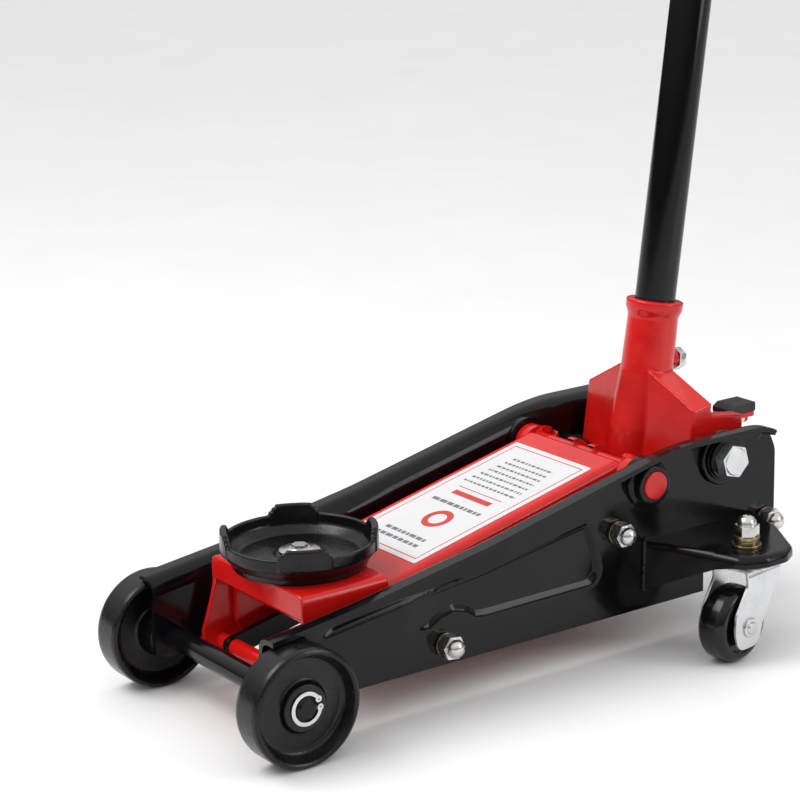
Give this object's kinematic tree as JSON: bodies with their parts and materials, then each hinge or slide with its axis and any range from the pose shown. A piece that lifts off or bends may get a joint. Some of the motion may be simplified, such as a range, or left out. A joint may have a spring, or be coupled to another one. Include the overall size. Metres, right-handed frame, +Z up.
{
  "type": "hydraulic floor jack",
  "caption": "Low trolley jack with a hydraulic lift arm, level saddle head, two front wheels, two rear casters and a long pump handle.",
  "frame": {"origin": "centre of the bounding box on the floor", "axes": "+Z up, -Y towards the saddle, X across the jack"},
  "size_m": [0.371, 0.682, 1.2724],
  "materials": {
    "black_paint": "gloss",
    "red_paint": "gloss",
    "cast_black": "satin",
    "bright_zinc": "satin",
    "white_zinc": "satin",
    "dark_steel": "satin",
    "ground_steel": "polished",
    "label_print": "satin",
    "caster_tread": "satin",
    "grip_rubber": "matte",
    "pedal_rubber": "matte"
  },
  "bodies": {
    "frame": {"side_plate_right": "black_paint", "side_plate_left": "black_paint", "arm_pivot_bushes": "black_paint", "front_axle": "black_paint", "axle_rings": "bright_zinc", "tie_rod_front": "dark_steel", "tie_rod_rear": "dark_steel", "link_bolts": "dark_steel", "acorn_nuts": "bright_zinc", "nut_washers": "bright_zinc", "caster_bracket_right": "black_paint", "caster_bracket_left": "black_paint", "caster_studs": "bright_zinc", "stud_nuts": "bright_zinc", "stud_washers": "bright_zinc", "handle_pivot_bolts": "white_zinc", "pivot_washers": "black_paint", "pump_block": "cast_black", "ram_cylinder": "cast_black", "gland_nut": "cast_black", "filler_plug": "cast_black", "swivel_ring_right": "white_zinc", "swivel_ring_left": "white_zinc"},
    "front_wheel_right": {"front_wheel_right": "cast_black"},
    "front_wheel_left": {"front_wheel_left": "cast_black"},
    "caster_right": {"fork_right": "white_zinc", "caster_axle_right": "bright_zinc"},
    "caster_left": {"fork_left": "white_zinc", "caster_axle_left": "bright_zinc"},
    "caster_wheel_right": {"caster_wheel_right": "caster_tread"},
    "caster_wheel_left": {"caster_wheel_left": "caster_tread"},
    "arm": {"lift_arm": "red_paint", "arm_label": "label_print", "arm_pivot_shaft": "red_paint", "ram_lever": "red_paint", "head_pivot_pin": "red_paint"},
    "head": {"saddle_head": "red_paint", "link_pin": "red_paint"},
    "saddle": {"saddle": "cast_black", "saddle_washer": "bright_zinc", "saddle_screw": "bright_zinc"},
    "radius_rod_right": {"radius_rod_right": "black_paint"},
    "radius_rod_left": {"radius_rod_left": "black_paint"},
    "ram": {"ram_rod": "ground_steel", "crosshead_pin": "ground_steel"},
    "socket": {"handle_socket": "red_paint", "roller_pin": "ground_steel", "clamp_bolt": "bright_zinc"},
    "roller": {"pump_roller": "ground_steel"},
    "handle": {"handle_lower_tube": "black_paint", "handle_upper_tube": "black_paint", "handle_grip": "grip_rubber"},
    "valve": {"release_valve": "bright_zinc"},
    "pump": {"pump_plunger": "ground_steel", "pump_spring": "dark_steel"},
    "pedal": {"pedal_lever": "red_paint", "pedal_pad": "pedal_rubber", "pedal_rivet": "bright_zinc"},
    "quick_pump": {"quick_plunger": "ground_steel"}
  },
  "joints": [
    {"name": "front_wheel_right_spin", "type": "hinge", "parent": "frame", "child": "front_wheel_right", "pos_m": [0.11, -0.29103, 0.05], "axis": [1, 0, 0], "continuous": true},
    {"name": "front_wheel_left_spin", "type": "hinge", "parent": "frame", "child": "front_wheel_left", "pos_m": [-0.11, -0.29103, 0.05], "axis": [1, 0, 0], "continuous": true},
    {"name": "caster_right_swivel", "type": "hinge", "parent": "frame", "child": "caster_right", "pos_m": [0.152, 0.14797, 0.086], "axis": [0, 0, 1], "continuous": true},
    {"name": "caster_left_swivel", "type": "hinge", "parent": "frame", "child": "caster_left", "pos_m": [-0.152, 0.14797, 0.086], "axis": [0, 0, 1], "continuous": true},
    {"name": "caster_wheel_right_spin", "type": "hinge", "parent": "caster_right", "child": "caster_wheel_right", "pos_m": [0.15547, 0.12827, 0.034], "axis": [0.9848, 0.1736, 0], "continuous": true},
    {"name": "caster_wheel_left_spin", "type": "hinge", "parent": "caster_left", "child": "caster_wheel_left", "pos_m": [-0.15547, 0.12827, 0.034], "axis": [0.9848, -0.1736, 0], "continuous": true},
    {"name": "lift_arm_raise", "type": "hinge", "parent": "frame", "child": "arm", "pos_m": [0, 0.08997, 0.152], "axis": [-1, 0, 0], "range_deg": [0, 62]},
    {"name": "head_level", "type": "hinge", "parent": "arm", "child": "head", "pos_m": [0, -0.22103, 0.082], "axis": [-1, 0, 0], "range_deg": [-62, 0]},
    {"name": "saddle_swivel", "type": "hinge", "parent": "head", "child": "saddle", "pos_m": [0, -0.21403, 0.12], "axis": [0, 0, 1], "continuous": true},
    {"name": "radius_rod_right_swing", "type": "hinge", "parent": "frame", "child": "radius_rod_right", "pos_m": [0.047, 0.05797, 0.1125], "axis": [-1, 0, 0], "range_deg": [0, 62]},
    {"name": "radius_rod_left_swing", "type": "hinge", "parent": "frame", "child": "radius_rod_left", "pos_m": [-0.047, 0.05797, 0.1125], "axis": [-1, 0, 0], "range_deg": [0, 62]},
    {"name": "ram_extend", "type": "slide", "parent": "frame", "child": "ram", "axis": [0, -1, 0], "range_m": [0, 0.0602]},
    {"name": "handle_pump", "type": "hinge", "parent": "frame", "child": "socket", "pos_m": [0, 0.17797, 0.158], "axis": [-1, 0, 0], "range_deg": [-8, 50]},
    {"name": "handle_twist", "type": "hinge", "parent": "socket", "child": "handle", "pos_m": [0, 0.15591, 0.16126], "axis": [0, 0.1461, 0.9893], "range_deg": [0, 180]},
    {"name": "release_valve_turn", "type": "hinge", "parent": "frame", "child": "valve", "pos_m": [0, 0.15597, 0.124], "axis": [0, 0, 1], "range_deg": [0, 180]},
    {"name": "pump_roller_spin", "type": "hinge", "parent": "socket", "child": "roller", "pos_m": [0.048, 0.20244, 0.16941], "axis": [1, 0, 0], "continuous": true},
    {"name": "pump_stroke", "type": "slide", "parent": "frame", "child": "pump", "axis": [0, 0, -1], "range_m": [-0.0037, 0.0229], "deforming": ["pump_spring"]},
    {"name": "pedal_press", "type": "hinge", "parent": "frame", "child": "pedal", "pos_m": [0.031, 0.17797, 0.158], "axis": [-1, 0, 0], "range_deg": [0, 15], "stiffness_Nm_per_rad": 0.8, "springref_deg": -8.59},
    {"name": "quick_pump_stroke", "type": "slide", "parent": "frame", "child": "quick_pump", "axis": [0, 0, -1], "range_m": [0, 0.0132]}
  ],
  "couplings": [
    {"joint": "head_level", "follows": "lift_arm_raise", "ratio": -1},
    {"joint": "radius_rod_right_swing", "follows": "lift_arm_raise", "ratio": 1},
    {"joint": "radius_rod_left_swing", "follows": "lift_arm_raise", "ratio": 1},
    {"joint": "ram_extend", "follows": "lift_arm_raise", "m_per_rad": 0.0555},
    {"joint": "pump_stroke", "follows": "handle_pump", "m_per_rad": 0.02613},
    {"joint": "release_valve_turn", "follows": "handle_twist", "ratio": 1},
    {"joint": "quick_pump_stroke", "follows": "pedal_press", "m_per_rad": 0.05}
  ]
}
